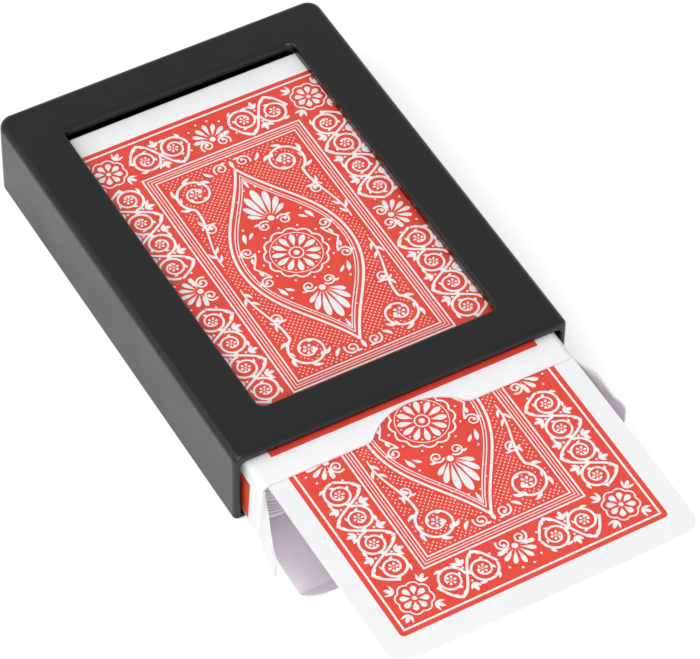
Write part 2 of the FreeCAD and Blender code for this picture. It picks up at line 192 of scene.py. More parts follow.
def rounded(corners, steps=7):
    """Outline through (x, y, radius) corners, each turned into an arc of that radius."""
    points = []
    for k, (x, y, radius) in enumerate(corners):
        here = Vector((x, y))
        before = (Vector(corners[k - 1][:2]) - here).normalized()
        after = (Vector(corners[(k + 1) % len(corners)][:2]) - here).normalized()
        if radius == 0:
            points.append(tuple(here))
            continue
        half = before.angle(after) / 2
        centre = here + (before + after).normalized() * (radius / math.sin(half))
        first = here + before * (radius / math.tan(half)) - centre
        turn = (math.pi - 2 * half) * (1 if before.cross(after) < 0 else -1)
        for step in range(steps + 1):
            arm = first.copy()
            arm.rotate(Matrix.Rotation(turn * step / steps, 2))
            points.append(tuple(centre + arm))
    return points


def rectangle(left, bottom, right, top, radius=0.0):
    """Outline of a rectangle whose corners have a radius."""
    return rounded([(x, y, radius) for x, y in ((left, bottom), (right, bottom), (right, top), (left, top))])


def divisions(start, end, step):
    """Places between start and end, about step apart."""
    count = max(round((end - start) / step), 1)
    return [start + (end - start) * k / count for k in range(1, count)]


def cut_sheet(outline, cuts_u=(), cuts_v=()):
    """Flat sheet inside the outline, cut across so that it can bend: its points, faces and border."""
    sheet = bmesh.new()
    sheet.faces.new([sheet.verts.new((u, v, 0)) for u, v in outline])
    for normal, cuts in (((1, 0, 0), cuts_u), ((0, 1, 0), cuts_v)):
        for cut in cuts:
            everything = sheet.verts[:] + sheet.edges[:] + sheet.faces[:]
            place = [cut * part for part in normal]
            bmesh.ops.bisect_plane(sheet, geom=everything, plane_co=place, plane_no=normal)
    bmesh.ops.recalc_face_normals(sheet, faces=sheet.faces[:])
    if sheet.faces[:][0].normal.z < 0:
        bmesh.ops.reverse_faces(sheet, faces=sheet.faces[:])
    sheet.verts.index_update()
    points = [(vert.co.x, vert.co.y) for vert in sheet.verts]
    faces = [[vert.index for vert in face.verts] for face in sheet.faces]
    border = [
        (loop.vert.index, loop.link_loop_next.vert.index)
        for face in sheet.faces
        for loop in face.loops
        if loop.edge.is_boundary
    ]
    sheet.free()
    return points, faces, border


# Edges that bend by more than this stay sharp in a smooth piece.
SHARP_EDGE = math.radians(35)


def add_piece(name, points, faces, materials, body, face_materials=None, smooth=True):
    """Mesh piece from points in mm, riding on a body."""
    mesh = bpy.data.meshes.new(name)
    mesh.from_pydata([Vector(point) * MM for point in points], [], faces)
    for material in materials:
        mesh.materials.append(material)
    if face_materials:
        mesh.polygons.foreach_set("material_index", face_materials)
    if smooth:
        mesh.shade_smooth()
        mesh.set_sharp_from_angle(angle=SHARP_EDGE)
    mesh.update()
    piece = bpy.data.objects.new(name, mesh)
    bpy.context.scene.collection.objects.link(piece)
    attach(piece, body)
    return piece


def add_board(name, outline, cuts, place, thickness, faces_of, body, bead=None):
    """Sheet with a thickness, bent by place(u, v, lift). faces_of holds its front, back and edge materials.

    bead holds the two end rings of the round root that a flap has along its crease.
    """
    flat, faces, border = cut_sheet(outline, *cuts)
    half, count = thickness / 2, len(flat)
    points = [place(u, v, half) for u, v in flat] + [place(u, v, -half) for u, v in flat]
    built = [list(face) for face in faces]
    built += [[index + count for index in reversed(face)] for face in faces]
    built += [[b, a, a + count, b + count] for a, b in border]
    kinds = [0] * len(faces) + [1] * len(faces) + [2] * len(border)
    if bead:
        start, sides = len(points), len(bead[0])
        points += bead[0] + bead[1]
        for k in range(sides):
            following = (k + 1) % sides
            built.append([start + k, start + following, start + sides + following, start + sides + k])
            kinds.append(0)
    return add_piece(name, points, built, list(faces_of), body, kinds)


def root_ring(centre, first, second, sides=12):
    """Ring as thick as the board, about centre in the plane of two unit directions."""
    turns = [2 * math.pi * k / sides for k in range(sides)]
    return [centre + (first * math.cos(t) + second * math.sin(t)) * (BOARD / 2) for t in turns]


def add_print(name, faces, place, lift, material, body):
    """Printed faces laid on a sheet at a lift above its middle. Each is a level and its (u, v) corners."""
    points, built = [], []
    for level, corners in faces:
        built.append(list(range(len(points), len(points) + len(corners))))
        points += [place(u, v, lift + level * LEVEL_STEP) for u, v in corners]
    return add_piece(name, points, built, [material], body, smooth=False)


def plain_print(outline, cuts_u, cuts_v):
    """Faces of a printed area without a pattern, for add_print."""
    flat, faces, _ = cut_sheet(outline, cuts_u, cuts_v)
    return [(0, [flat[index] for index in face]) for face in faces]


# --- ornament ------------------------------------------------------------------------------------------


def around(x, y, reach, turn):
    """Point at a reach and a turn from (x, y)."""
    return x + reach * math.cos(turn), y + reach * math.sin(turn)


def ray(turn):
    """Unit vector at a turn."""
    return Vector((math.cos(turn), math.sin(turn)))


def cubic_point(corners, share):
    """Point of a cubic curve, a share of the way from the first of its four control points."""
    rest = 1 - share
    weights = rest**3, 3 * share * rest**2, 3 * share**2 * rest, share**3
    return sum((Vector(corner) * weight for corner, weight in zip(corners, weights)), Vector((0, 0)))


class Ink:
    """White line-work of a printed panel, gathered as flat faces: a level and (x, y) corners in mm.

    Marks that overlap get levels of their own, so that no two of them share a plane. To find them, the panel
    is cut into square cells of a side CELL. Straight lines are made of runs about as long as LINE_RUN.
    """

    CELL = 0.5
    LINE_RUN = 1.5

    def __init__(self):
        self.faces = []
        self.marks = []
        self.held = {}

    def cells_along(self, place, reach):
        """Numbers of the cells within reach of a place, along either axis."""
        return range(math.floor((place - reach) / self.CELL), math.floor((place + reach) / self.CELL) + 1)

    def take_level(self, points, reach):
        """Lowest level that no mark holds yet in the cells within reach of the points, held from now on."""
        cells = set()
        for x, y in points:
            columns = self.cells_along(x, reach)
            rows = self.cells_along(y, reach)
            cells.update((column, row) for column in columns for row in rows)
        taken = set().union(*(self.held.get(cell, ()) for cell in cells))
        level = next(level for level in itertools.count() if level not in taken)
        for cell in cells:
            self.held.setdefault(cell, set()).add(level)
        return level

    def stroke(self, points, widths):
        """Band that follows the points, as wide at each of them as widths says."""
        points = [Vector(point) for point in points]
        last = len(points) - 1
        level = self.take_level(points, max(widths) / 2 + (points[1] - points[0]).length / 2)
        rails = []
        for k, (point, width) in enumerate(zip(points, widths)):
            along = (points[min(k + 1, last)] - points[max(k - 1, 0)]).normalized()
            across = Vector((-along.y, along.x)) * (width / 2)
            rails.append((point - across, point + across))
            self.marks.append((point, width / 2))
        for (a, b), (c, d) in zip(rails, rails[1:]):
            self.faces.append((level, [tuple(a), tuple(c), tuple(d), tuple(b)]))

    def dot(self, x, y, radius, sides=12):
        """Round dot."""
        level = self.take_level([(x, y)], radius)
        corners = [around(x, y, radius, 2 * math.pi * k / sides) for k in range(sides)]
        self.faces.append((level, corners))
        self.marks.append((Vector((x, y)), radius))

    def line(self, start, end, width):
        """Straight line in short runs, so that it can follow a bent sheet."""
        start, end = Vector(start), Vector(end)
        runs = max(int((end - start).length / self.LINE_RUN), 1)
        self.stroke([start.lerp(end, k / runs) for k in range(runs + 1)], [width] * (runs + 1))

    def ring(self, x, y, radius, width, lobes=0, depth=0.0, turn=0.0, steps=96):
        """Closed ring, with lobes of a depth round it if asked for."""
        points = []
        for k in range(steps + 1):
            angle = 2 * math.pi * k / steps
            reach = radius + depth * abs(math.cos(lobes * (angle - turn) / 2)) if lobes else radius
            points.append(around(x, y, reach, angle))
        self.stroke(points, [width] * len(points))

    def petal(self, x, y, angle, length, width, curl=0.0, round_end=0.0, steps=14):
        """Petal from its foot at (x, y), pointing along angle and curling as it goes.

        round_end moves its widest place from the middle (0) towards its tip (1).
        """
        points, widths = [(x, y)], [width * 0.1]
        power = 0.8 + 1.6 * round_end
        for k in range(1, steps + 1):
            share = k / steps
            heading = angle + curl * share
            x += math.cos(heading) * length / steps
            y += math.sin(heading) * length / steps
            points.append((x, y))
            widths.append(width * max(math.sin(math.pi * share**power) ** (0.8 - 0.3 * round_end), 0.03))
        self.stroke(points, widths)

    def scroll(self, x, y, start, turns, outer, inner, width, hand):
        """Spiral from its outer end, at an angle from its middle, wound in by some turns to a round bud."""
        steps = int(turns * 30)
        points, widths = [], []
        for k in range(steps + 1):
            share = k / steps
            turn = start + hand * 2 * math.pi * turns * share
            reach = inner + (outer - inner) * (1 - share) ** 1.15
            points.append(around(x, y, reach, turn))
            widths.append(width * (1 - 0.4 * share))
        self.stroke(points, widths)
        self.dot(*points[-1], width * 0.9)
        return points

    def curve(self, corners, start_width, end_width, steps):
        """Cubic curve by its four control points, whose width changes evenly along it."""
        shares = [k / steps for k in range(steps + 1)]
        points = [cubic_point(corners, share) for share in shares]
        self.stroke(points, [start_width + (end_width - start_width) * share for share in shares])
        return points

    def sprout(self, path, share, length, width, lean, curl=0.0, round_end=0.0):
        """Petal that grows from a path, a share of the way along, and leans off its direction."""
        index = int(share * (len(path) - 1))
        before, after = Vector(path[max(index - 1, 0)]), Vector(path[min(index + 1, len(path) - 1)])
        heading = math.atan2(after.y - before.y, after.x - before.x)
        self.petal(*path[index], heading + lean, length, width, curl, round_end)

    def flower(self, x, y, radius, petals, width, turn=0.0):
        """Round-ended petals about a dot."""
        for k in range(petals):
            angle = turn + 2 * math.pi * k / petals
            foot = around(x, y, radius * 0.3, angle)
            self.petal(*foot, angle, radius * 0.7, width, round_end=0.6, steps=9)
        self.dot(x, y, radius * 0.17)

    def reflected(self):
        """This ink and its reflections in both axes, as new ink."""
        whole = Ink()
        levels = 1 + max(level for level, _ in self.faces)
        for part, (sx, sy) in enumerate(((1, 1), (-1, 1), (1, -1), (-1, -1))):
            for level, face in self.faces:
                corners = [(x * sx, y * sy) for x, y in face]
                whole.faces.append((level + part * levels, corners if sx * sy > 0 else corners[::-1]))
            whole.marks += [(Vector((p.x * sx, p.y * sy)), r) for p, r in self.marks]
        return whole


# Places in from the panel's edge. A frame line is its place and its width.
OUTER_LINE = (1.17, 0.4)
INNER_LINES = ((10.95, 0.36), (11.65, 0.17), (12.2, 0.17), (12.85, 0.3))
BAND_INSET, BAND_WIDTH = 1.95, 8.6
FIELD_INSET = 13.3
STEM_WIDTH = 0.5


def draw_frame(ink, half_width, half_length):
    """Plain lines that frame the panel, outside and inside its border."""
    for inset, width in (OUTER_LINE, *INNER_LINES):
        x, y = half_width - inset, half_length - inset
        ink.line((x, 0), (x, y), width)
        ink.line((0, y), (x + width / 2, y), width)


def draw_vine(ink, place, start, end, units):
    """Vine along a stretch of the border: a stem that waves from side to side, a scroll in every bay.

    place(u, v) puts a point that far along and across the band onto the panel.
    """
    bay = (end - start) / units
    sway = BAND_WIDTH / 2 - STEM_WIDTH
    steps = 16 * units
    stem = []
    for k in range(steps + 1):
        u = start + (end - start) * k / steps
        stem.append(place(u, -sway * math.sin(math.pi * (u - start) / bay)))
    ink.stroke(stem, [STEM_WIDTH] * len(stem))
    origin = Vector(place(0, 0))
    along, across = Vector(place(1, 0)) - origin, Vector(place(0, 1)) - origin
    hand = 1 if along.cross(across) > 0 else -1
    for unit in range(units):
        side = 1 if unit % 2 == 0 else -1
        middle = start + bay * (unit + 0.5)
        draw_bay(ink, lambda u, v: place(middle + u, side * v), bay, sway, side * hand)
    for crossing in range(1, units):
        draw_spandrels(ink, place, start + bay * crossing, sway)


def draw_bay(ink, place, bay, sway, hand):
    """Scroll of one bay and what grows on it. v points away from the stem, hand is the bay's handedness."""
    turns, outer, inner, width, steps = 1.55, bay * 0.47, 1.0, 0.54, 54
    shares = [k / steps for k in range(steps + 1)]
    coil = []
    for share in shares:
        turn = math.pi - 2 * math.pi * turns * share
        reach = inner + (outer - inner) * (1 - share) ** 1.1
        coil.append(place(reach * math.cos(turn), 0.25 + reach * 1.02 * math.sin(turn)))
    ink.stroke(coil, [width * (1 - 0.4 * share) for share in shares])
    centre = place(0.1, 0.2)
    ink.flower(*centre, 1.05, 6, 0.5)
    for share in (0.5, 0.66):
        ink.sprout(coil, share, 1.0, 0.5, 0.9 * hand, -0.6 * hand)
    for share, length, lean in ((0.08, 1.5, 0.9), (0.2, 1.7, 0.8), (0.33, 1.6, 0.8)):
        ink.sprout(coil, share, length, 0.62, lean * hand, -1.0 * hand)
    for lean in (-1, 1):
        foot = Vector(place(0.35 * lean, 0.35 - sway))
        tip = Vector(place(1.6 * lean, 1.15 - sway))
        ink.petal(*foot, math.atan2(tip.y - foot.y, tip.x - foot.x), 1.5, 0.5)
    ink.dot(*place(0.0, -sway), 0.42)


def draw_spandrels(ink, place, u, sway):
    """Leaves in the two gaps where the vine's stem crosses the middle of the band."""
    for side in (1, -1):
        for lean, length, width in ((0, 2.0, 0.85), (-0.8, 1.5, 0.55), (0.8, 1.5, 0.55)):
            foot = Vector(place(u + 0.12 * lean, side * (sway - 1.75)))
            tip = Vector(place(u + lean, side * (sway - 0.75)))
            ink.petal(*foot, math.atan2(tip.y - foot.y, tip.x - foot.x), length, width, round_end=0.2)
        ink.dot(*place(u, side * (sway - 2.2)), 0.24)


def draw_border(ink, half_width, half_length):
    """Border between the frame lines: vines, a flower in every corner and a shell amid each side."""
    middle_x = half_width - BAND_INSET - BAND_WIDTH / 2
    middle_y = half_length - BAND_INSET - BAND_WIDTH / 2
    corner, shell = 4.6, 4.4
    draw_vine(ink, lambda u, v: (u, middle_y + v), shell, middle_x - corner, 2)
    draw_vine(ink, lambda u, v: (middle_x + v, u), shell, middle_y - corner, 4)
    draw_corner(ink, middle_x, middle_y)
    draw_shell(ink, 0, middle_y, math.pi / 2)
    draw_shell(ink, middle_x, 0, 0)


def draw_corner(ink, x, y):
    """Flower in a lobed ring, with three leaves in each of its four diagonals."""
    petals, reach, length = 8, 3.75, 1.9
    ink.flower(x, y, 2.7, petals, 1.15, math.pi / petals)
    ink.ring(x, y, 3.05, 0.3, lobes=petals, depth=0.45, turn=math.pi / petals)
    for quarter in range(4):
        turn = math.pi / 4 + quarter * math.pi / 2
        foot = around(x, y, reach, turn)
        ink.petal(*foot, turn, length, 0.75, round_end=0.3)
        for lean in (-1, 1):
            ink.petal(*foot, turn + 0.95 * lean, length, 0.55, -0.5 * lean)


def draw_shell(ink, x, y, outward):
    """Shell of round petals over a pair of scrolls, half way along a side. The panel's axes mirror it."""
    out = ray(outward)
    across = Vector((-out.y, out.x))
    foot = Vector((x, y)) - out * 1.3
    petals, spread = 7, math.radians(84)
    for k in range(petals):
        lean = spread * (2 * k / (petals - 1) - 1)
        start = foot + ray(outward + lean) * 0.95
        ink.petal(*start, outward + lean, 3.2 - 0.3 * abs(math.sin(lean)), 0.92, round_end=0.9)
    dots, spread = 8, math.radians(98)
    for k in range(dots):
        lean = spread * (2 * k / (dots - 1) - 1)
        ink.dot(*(foot + ray(outward + lean) * 4.9), 0.23)
    ink.dot(*foot, 0.6)
    for side in (1, -1):
        middle = foot - out * 1.3 + across * side * 1.7
        coil = ink.scroll(*middle, outward + side * 2.3, 1.35, 1.4, 0.4, 0.42, -side)
        ink.sprout(coil, 0.22, 1.2, 0.5, 0.9 * side, -0.5 * side)


# Lines of the pointed oval: how far in from its outermost one, and how wide.
OVAL_LINES = ((0.0, 0.52), (0.9, 0.2), (1.4, 0.2))
OVAL_HALF_WIDTH, OVAL_HALF_LENGTH = 11.4, 24.2
OVAL_STEPS = 28
ROSETTE_PETALS = 12


def oval_corners(half_width, half_length):
    """Control points of a quarter of a pointed oval."""
    shares = (1, 0), (1, 0.42), (0.36, 0.62), (0, 1)
    return [(half_width * across, half_length * along) for across, along in shares]


def draw_centre(ink, whole):
    """Pointed oval in the middle of the field, with a rosette between two tall palmettes."""
    for inset, width in OVAL_LINES:
        corners = oval_corners(OVAL_HALF_WIDTH - inset, OVAL_HALF_LENGTH - inset * 2)
        ink.curve(corners, width, width, OVAL_STEPS)
    draw_rosette(whole)
    draw_palmette(ink)
    coil = ink.scroll(8.15, 4.2, math.radians(215), 1.4, 1.4, 0.4, 0.38, 1)
    ink.sprout(coil, 0.24, 1.2, 0.5, -0.8, 0.6)
    stem = ink.curve(((8.9, 0.0), (8.3, 1.0), (7.4, 2.0), coil[0]), 0.38, 0.38, 10)
    ink.sprout(stem, 0.3, 1.6, 0.65, -0.9, 0.9, 0.3)
    ink.petal(7.3, 6.2, math.radians(100), 2.6, 0.85, 0.3, 0.3)
    ink.petal(6.2, 6.9, math.radians(128), 1.9, 0.65, 0.3, 0.3)
    ink.dot(6.15, 9.6, 0.24)
    ink.dot(9.85, 1.75, 0.22)


def draw_rosette(whole):
    """Round flower at the panel's centre, in a plain and a lobed ring, with dots between its petals."""
    step = 2 * math.pi / ROSETTE_PETALS
    whole.ring(0, 0, 5.6, 0.38, lobes=ROSETTE_PETALS, depth=0.6, turn=step / 2)
    whole.ring(0, 0, 5.0, 0.16)
    whole.ring(0, 0, 1.35, 0.28)
    whole.dot(0, 0, 0.6)
    for k in range(ROSETTE_PETALS):
        turn = step * (k + 0.5)
        between = turn + step / 2
        whole.petal(*around(0, 0, 1.75, turn), turn, 2.95, 1.15, round_end=0.5)
        for reach, radius in ((4.35, 0.17), (6.95, 0.22)):
            whole.dot(*around(0, 0, reach, between), radius)


def draw_palmette(ink):
    """Half of a tall palmette of round petals on the oval's long axis, which mirrors it."""
    middle_y = 9.9
    for lean, length, width in ((90, 7.0, 1.55), (68, 6.0, 1.35), (47, 4.6, 1.15), (27, 3.3, 0.95)):
        turn = math.radians(lean)
        foot = around(0, middle_y, 1.15, turn)
        ink.petal(*foot, turn, length, width, 0.0 if lean == 90 else 0.22, 0.75)
    for lean, reach in ((82, 8.6), (61, 7.4), (41, 6.0)):
        ink.dot(*around(0, middle_y, reach, math.radians(lean)), 0.2)
    ink.dot(0, middle_y, 0.68)
    coil = ink.scroll(2.05, 8.55, math.radians(150), 1.35, 1.35, 0.4, 0.4, -1)
    ink.sprout(coil, 0.2, 1.2, 0.5, 0.9, -0.5)
    ink.petal(0, 18.6, math.radians(90), 2.3, 0.6, 0.0, 0.2)


def draw_field(ink, half_width, half_length):
    """Scrolls and leaves that fill the corners of the field round the pointed oval."""
    x, y = half_width - FIELD_INSET, half_length - FIELD_INSET
    coil = ink.scroll(x - 5.0, y - 5.4, math.radians(-62), 1.6, 4.1, 1.15, 0.56, 1)
    ink.flower(x - 5.0, y - 5.4, 1.25, 6, 0.6)
    for share, length, lean in ((0.03, 2.2, -0.95), (0.13, 2.4, -0.85), (0.24, 2.4, -0.8), (0.35, 2.2, -0.8)):
        ink.sprout(coil, share, length, 0.75, lean, 1.0)
    for share, length, lean in ((0.10, 1.6, 0.9), (0.32, 1.4, 0.9), (0.5, 1.2, 0.9), (0.66, 1.0, 0.9)):
        ink.sprout(coil, share, length, 0.5, lean, -0.6)
    stem = ink.curve(((x - 0.9, 3.2), (x - 0.3, 8.6), (x - 3.6, y - 14.0), coil[0]), 0.3, 0.56, 26)
    for share, lean in ((0.08, 0.85), (0.26, 0.85), (0.62, 0.85), (0.16, -0.85), (0.72, -0.85)):
        ink.sprout(stem, share, 2.1, 0.62, lean, -0.6 * lean)
    small = ink.scroll(x - 3.15, 12.6, math.radians(20), 1.35, 1.5, 0.4, 0.4, 1)
    ink.sprout(small, 0.2, 1.3, 0.5, -0.8, 0.5)
    crest = ink.scroll(2.35, y - 1.95, math.radians(-35), 1.35, 1.5, 0.4, 0.4, 1)
    ink.sprout(crest, 0.3, 1.2, 0.5, -0.8, 0.5)
    ink.petal(0.0, y - 3.2, math.radians(90), 2.4, 0.8, 0.0, 0.4)
    ink.petal(4.35, y - 2.9, math.radians(20), 2.3, 0.7, 0.9, 0.1)


def draw_stipple(whole, half_width, half_length):
    """Fine dots over what is left bare of the field outside the oval, clear of every line.

    clear is the least gap from a mark's edge to a dot's middle. Marks are looked for as far off as wide.
    """
    pitch, radius, clear, wide, margin = 1.02, 0.15, 0.42, 1.6, 0.3
    tree = kdtree.KDTree(len(whole.marks))
    for index, (point, _) in enumerate(whole.marks):
        tree.insert((*point, 0), index)
    tree.balance()
    x_end, y_end = half_width - FIELD_INSET - margin, half_length - FIELD_INSET - margin
    spots = []
    for row in range(int(-2 * y_end / pitch), int(2 * y_end / pitch) + 1):
        for column in range(int(-x_end / pitch) - 1, int(x_end / pitch) + 1):
            x, y = (column + 0.5 * (row % 2)) * pitch, row * pitch / 2
            near = tree.find_range((x, y, 0), wide)
            inside = abs(x) < x_end and abs(y) < y_end
            if inside and not in_oval(x, y) and all(gap > whole.marks[k][1] + clear for _, k, gap in near):
                spots.append((x, y))
    for x, y in spots:
        whole.dot(x, y, radius, 6)


OVAL = oval_corners(OVAL_HALF_WIDTH, OVAL_HALF_LENGTH)
OVAL_EDGE = [cubic_point(OVAL, (k + 0.5) / OVAL_STEPS) for k in range(OVAL_STEPS)]


def in_oval(x, y):
    """Whether a point of the field is inside the pointed oval."""
    for edge in OVAL_EDGE:
        if edge.y > abs(y):
            return abs(x) < edge.x
    return False


def panel_print(width, length):
    """All white line-work of a panel of that size, about its middle."""
    half_width, half_length = width / 2, length / 2
    quarter, whole = Ink(), Ink()
    draw_frame(quarter, half_width, half_length)
    draw_border(quarter, half_width, half_length)
    draw_centre(quarter, whole)
    draw_field(quarter, half_width, half_length)
    mirrored = quarter.reflected()
    mirrored.faces += whole.faces
    mirrored.marks += whole.marks
    draw_stipple(mirrored, half_width, half_length)
    return mirrored.faces


def add_panel(name, panel, middle, cuts, place, thickness, body):
    """Red panel on a sheet, its middle at (0, middle), and the white line-work on it."""
    half_width, half_length, short = panel["width"] / 2, panel["length"] / 2, panel["lines_short"]
    outline = rectangle(-half_width, middle - half_length, half_width, middle + half_length, panel["corner"])
    red = plain_print(outline, *cuts)
    add_print(f"{name}_red_panel", red, place, thickness / 2 + INK_LIFT, RED_INK, body)
    middle += short / 2
    lines = [
        (level, [(x, y + middle) for x, y in corners])
        for level, corners in panel_print(panel["width"], panel["length"] - short)
    ]
    add_print(f"{name}_line_work", lines, place, thickness / 2 + 2 * INK_LIFT, WHITE_INK, body)


# --- the card case ---------------------------------------------------------------------------------------

TOP_LOW, TOP_HIGH = span("case_top_panel")
SIDE_LOW, SIDE_HIGH = span("case_right_side")
OUTSIDE = SIDE_HIGH.x
FRONT, BACK = TOP_LOW.y, TOP_HIGH.y
MOUTH = span("sleeve_shell")[0].y

# How high the top bows up in its middle, and between which places along the case the bow grows.
TOP_BOW = 0.18
BOW_START, BOW_END = FRONT - 10, FRONT + 30

# How far each side leans out at its foot, and between which places the lean grows.
FLARE = {-1: 0.82, 1: 0.65}
FLARE_START, FLARE_END = FRONT + 14.95, FRONT - 2.05

# The ends of the notch's arc run into the straight edge by these points: how far past the end, how deep.
NOTCH_RADIUS, NOTCH_DEPTH, NOTCH_STEPS = 12.7, 4.85, 32
NOTCH_EASES = ((0.2, 0.12), (0.9, 0.0))

# Steps between the cuts that let the boards bend, in their order below, and cuts in a side's two folds.
FLAT_STEP, FAR_FOLD_STEP, DOWN_STEP, FLARE_STEP, PAST_FLARE_STEP = 6, 0.13, 1.5, 0.7, 10
TOP_FOLD_CUTS, BOTTOM_FOLD_CUTS = 8, 6

# Lengths along a side board, from the top board's edge round its folds.
TOP_ARC, BOTTOM_ARC = FOLD_TOP * math.pi / 2, FOLD_BOTTOM * math.pi / 2
SIDE_STRAIGHT = SIDE_HIGH.z - SIDE_LOW.z - FOLD_TOP - FOLD_BOTTOM
SIDE_LENGTH = TOP_ARC + SIDE_STRAIGHT + BOTTOM_ARC

# Places of the prints: the red panel's middle along the top, and the edges of the red band on the side.
PANEL_MIDDLE = (FRONT + BACK) / 2 - 0.175
BAND_TOP, BAND_BOTTOM = 4.7, SIDE_LENGTH - BOTTOM_ARC - 0.1
BAND_FRONT, BAND_BACK = MOUTH - 1.9, BACK - 6
# Width of the painted shade across the band at the sleeve's mouth.
MOUTH_SHADE_WIDTH = 1.0

# The sides and the floor reach this far past the front edge, into the round roots of the flaps.
CREASE_LAP = 0.15


def top_height(x, y):
    """How far the case's top bows up over the deck."""
    across = 1 - (x / OUTSIDE) ** 2
    return TOP_BOW * across * smooth_step(y, BOW_START, BOW_END)


def flare(side, y, z):
    """How far a side of the case leans out near its open end, which is most at its foot."""
    near_mouth = smooth_step(-y, -FLARE_START, -FLARE_END)
    return FLARE[side] * near_mouth * (1 - smooth_step(z, 0, SIDE_HIGH.z))


def place_top(x, y, lift):
    """Point of the top board. Past its far fold it turns down the case's end."""
    middle = (TOP_LOW.z + TOP_HIGH.z) / 2
    fold = BACK - FOLD_FAR
    radius = FOLD_FAR - BOARD / 2
    turn = max(y - fold, 0) / radius
    if turn == 0:
        return Vector((x, y, middle + top_height(x, y) + lift))
    bow = top_height(x, fold) * math.cos(turn)
    reach = radius + lift
    return Vector((x, fold + reach * math.sin(turn), middle - radius + bow + reach * math.cos(turn)))


def notched_edge():
    """Front edge of the top board from left to right, with its thumb notch."""
    centre_y = FRONT + NOTCH_DEPTH - NOTCH_RADIUS
    reach = math.acos((NOTCH_RADIUS - NOTCH_DEPTH) / NOTCH_RADIUS)
    turns = [reach * (2 * k / NOTCH_STEPS - 1) for k in range(1, NOTCH_STEPS)]
    arc = [(NOTCH_RADIUS * math.sin(turn), centre_y + NOTCH_RADIUS * math.cos(turn)) for turn in turns]
    end = NOTCH_RADIUS * math.sin(reach)
    right = [(end + past, FRONT + depth) for past, depth in NOTCH_EASES] + [(OUTSIDE - FOLD_TOP, FRONT)]
    left = [(-x, y) for x, y in reversed(right)]
    return left + arc + right


def make_top():
    """Top board with its thumb notch, and the print on it."""
    edge = OUTSIDE - FOLD_TOP
    fold = BACK - FOLD_FAR
    end = fold + (FOLD_FAR - BOARD / 2) * math.pi / 2
    outline = notched_edge() + [(edge, end), (-edge, end)]
    along = divisions(FRONT, fold, FLAT_STEP) + [fold] + divisions(fold, end, FAR_FOLD_STEP)
    cuts = divisions(-edge, edge, FLAT_STEP), along
    faces_of = COATED_PAINTED_LIGHT, INSIDE, CUT_EDGE
    board = add_board("case_top_board", outline, cuts, place_top, BOARD, faces_of, "drawer")
    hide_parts("case_top_panel")
    half_width, half_length = PANEL_ON_CASE["width"] / 2, PANEL_ON_CASE["length"] / 2
    near, far = PANEL_MIDDLE - half_length, PANEL_MIDDLE + half_length
    cuts = divisions(-half_width, half_width, FLAT_STEP), divisions(near, far, FLAT_STEP)
    add_panel("case", PANEL_ON_CASE, PANEL_MIDDLE, cuts, place_top, BOARD, "drawer")


def side_path(side, run):
    """Point and outward direction on a side's outer face, by the run down from the top board's edge."""
    if run < TOP_ARC:
        turn = run / FOLD_TOP
        x = OUTSIDE - FOLD_TOP + FOLD_TOP * math.sin(turn)
        z = SIDE_HIGH.z - FOLD_TOP + FOLD_TOP * math.cos(turn)
        out = math.sin(turn), math.cos(turn)
    elif run < TOP_ARC + SIDE_STRAIGHT:
        x, z = OUTSIDE, SIDE_HIGH.z - FOLD_TOP - (run - TOP_ARC)
        out = 1, 0
    else:
        turn = (run - TOP_ARC - SIDE_STRAIGHT) / FOLD_BOTTOM
        x = OUTSIDE - FOLD_BOTTOM + FOLD_BOTTOM * math.cos(turn)
        z = SIDE_LOW.z + FOLD_BOTTOM - FOLD_BOTTOM * math.sin(turn)
        out = math.cos(turn), -math.sin(turn)
    return x * side, z, out[0] * side, out[1]


def make_side(side, name):
    """Side board with its rounded folds, leaning out a little at the foot of the open end.

    Its placing and its cuts come back, so that a print on it can bend where the board does.
    """

    def place(run, y, lift):
        x, z, out_x, out_z = side_path(side, run)
        shift = lift - BOARD / 2
        x += side * flare(side, y, z)
        return Vector((x + out_x * shift, y, z + out_z * shift))

    fold = SIDE_LENGTH - BOTTOM_ARC
    runs = [TOP_ARC * (k + 1) / TOP_FOLD_CUTS for k in range(TOP_FOLD_CUTS)]
    runs += divisions(TOP_ARC, fold, DOWN_STEP)
    runs += [fold + BOTTOM_ARC * k / BOTTOM_FOLD_CUTS for k in range(BOTTOM_FOLD_CUTS)]
    along = divisions(FRONT, FLARE_START, FLARE_STEP) + [FLARE_START]
    along += divisions(FLARE_START, BACK, PAST_FLARE_STEP)
    outline = rectangle(0, FRONT - CREASE_LAP, SIDE_LENGTH, BACK)
    faces_of = COATED, INSIDE, CUT_EDGE
    board = add_board(
        f"case_{name}_board", outline, (runs, along), place, BOARD, faces_of, "drawer"
    )
    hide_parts(f"case_{name}_side")
    return place, (runs, along)


def make_side_print(place, cuts):
    """Red band along the case's left side, set back from the open end, with painted shade across it at the
    sleeve's mouth.
    """
    red = plain_print(rectangle(BAND_TOP, BAND_FRONT, BAND_BOTTOM, BAND_BACK), *cuts)
    add_print("side_red_band", red, place, BOARD / 2 + INK_LIFT, RED_INK, "drawer")
    half = MOUTH_SHADE_WIDTH / 2
    mouth_shade = plain_print(rectangle(BAND_TOP, MOUTH - half, BAND_BOTTOM, MOUTH + half), *cuts)
    add_print("side_painted_shade", mouth_shade, place, BOARD / 2 + 2 * INK_LIFT, MOUTH_SHADE_PAINT, "drawer")


def make_floor():
    """Bottom board between the sides' lower folds, its bare face up."""
    low, high = span("case_bottom_panel")
    edge = OUTSIDE - FOLD_BOTTOM
    level = (low.z + high.z) / 2
    outline = rectangle(-edge, FRONT - CREASE_LAP, edge, BACK)

    def place(x, y, lift):
        return Vector((x, y, level + lift))

    faces_of = INSIDE, COATED, CUT_EDGE
    floor = add_board("case_floor_board", outline, ((), ()), place, BOARD, faces_of, "drawer")
    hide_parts("case_bottom_panel")


# --- flaps -----------------------------------------------------------------------------------------------

